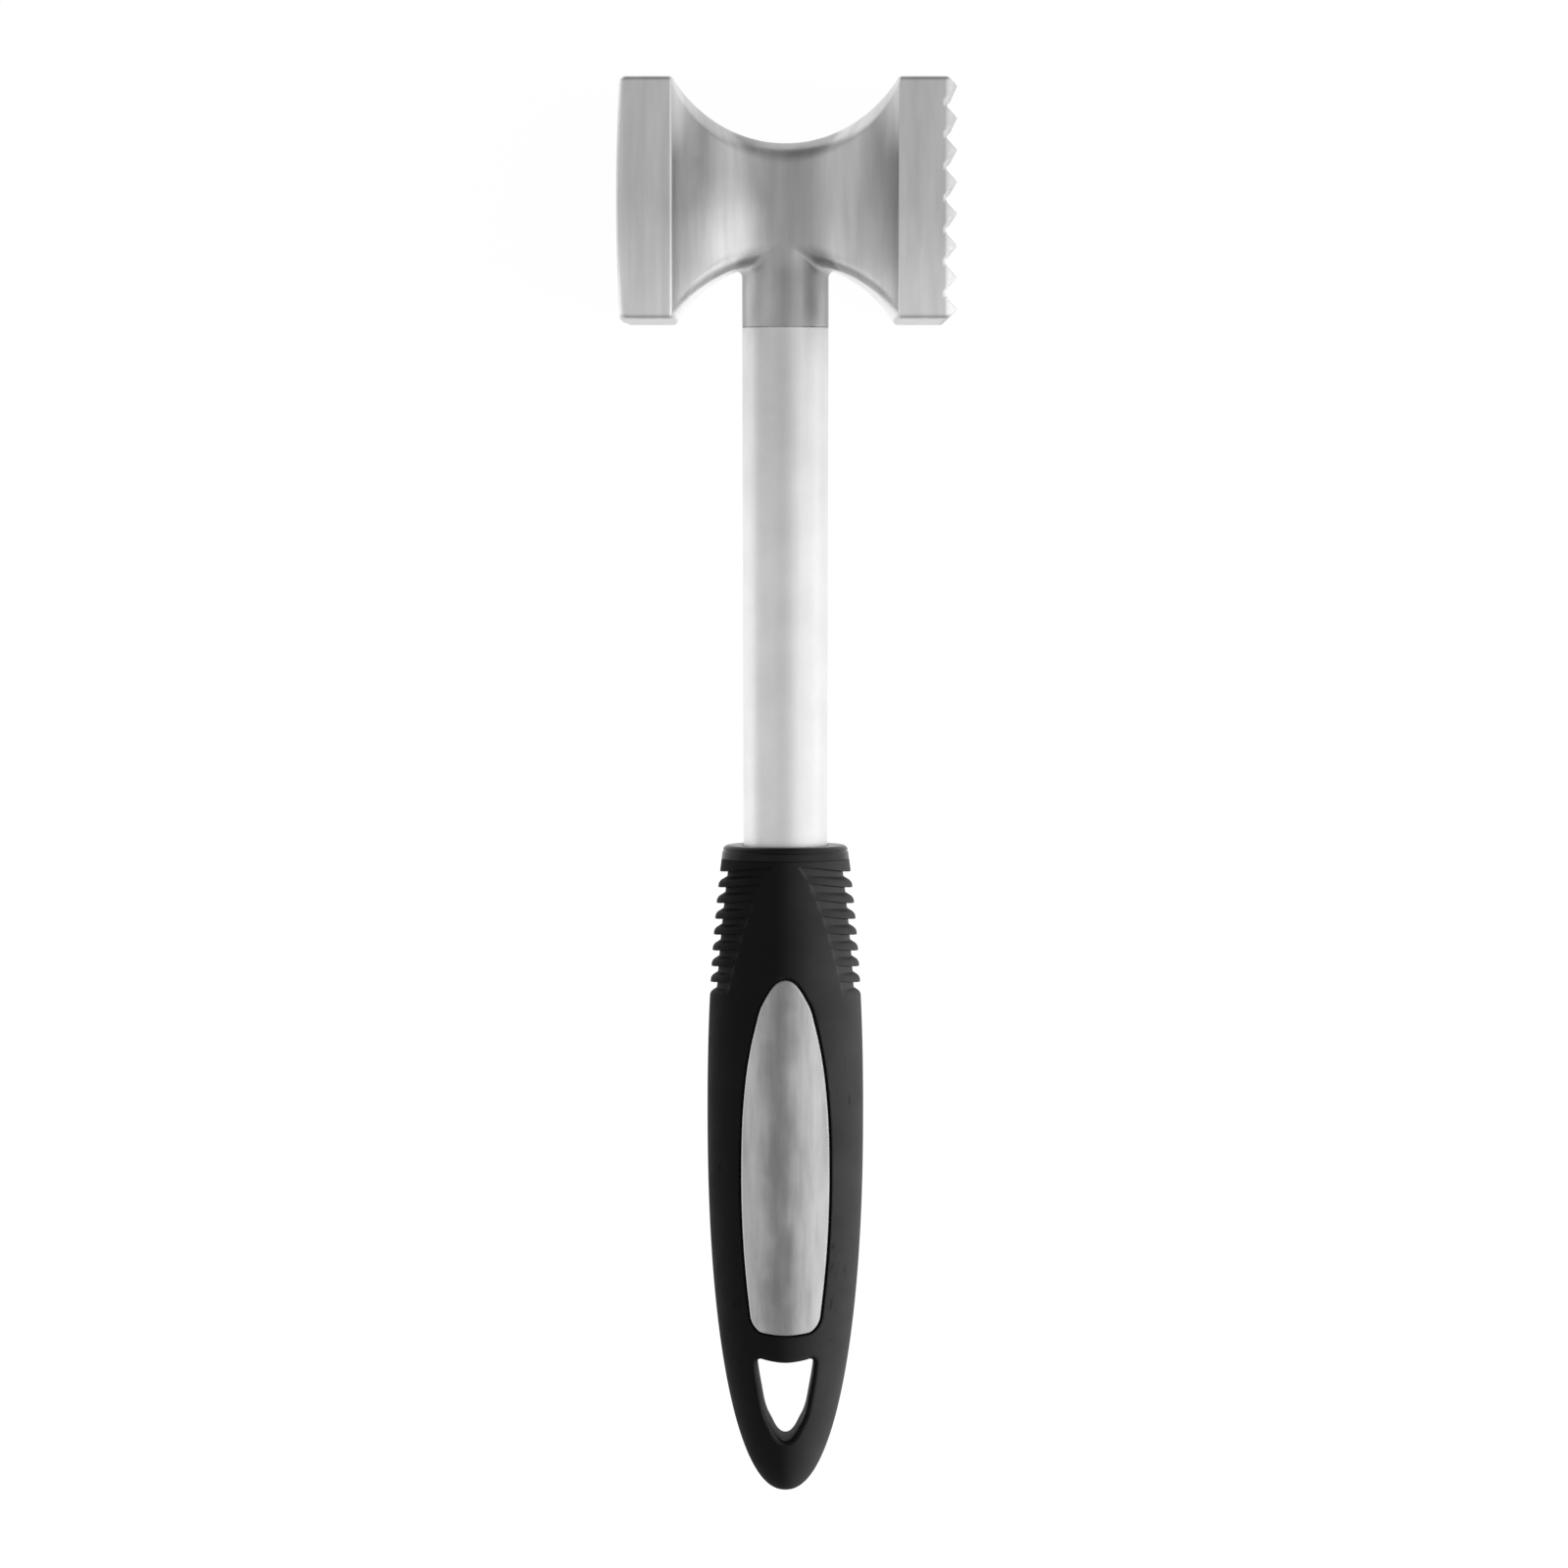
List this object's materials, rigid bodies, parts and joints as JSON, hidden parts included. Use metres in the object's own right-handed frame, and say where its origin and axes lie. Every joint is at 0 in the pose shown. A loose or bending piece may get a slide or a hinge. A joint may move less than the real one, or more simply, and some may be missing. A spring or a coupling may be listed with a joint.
{
  "type": "meat mallet",
  "caption": "Hand mallet for meat: hourglass aluminium head with a smooth face and a toothed face, round stem and rubber-covered grip with a hang hole.",
  "frame": {"origin": "middle of the tool's length and width, on the plane of the back edges of the head, on which the tool lies", "axes": "+Y along the tool from the grip to the head, +X out of the toothed face, +Z out of the badge side"},
  "size_m": [0.0596, 0.25, 0.042],
  "materials": {
    "cast_aluminium": "satin cast, linished lengthwise",
    "stem_aluminium": "finely brushed round the stem's length",
    "collar_plastic": "semi-gloss black",
    "core_plastic": "moulded black",
    "grip_rubber": "matte black, fine moulded texture",
    "badge_steel": "brushed lengthwise, polished rim",
    "pad_adhesive": "dark foam adhesive",
    "screw_steel": "zinc plated"
  },
  "bodies": {
    "root": {"mallet_head": "cast_aluminium", "stem": "stem_aluminium", "grip_collar": "collar_plastic", "grip_core": "core_plastic", "grip_sleeve": "grip_rubber", "badge": "badge_steel", "badge_pad": "pad_adhesive", "tang_screws": "screw_steel"}
  },
  "joints": []
}
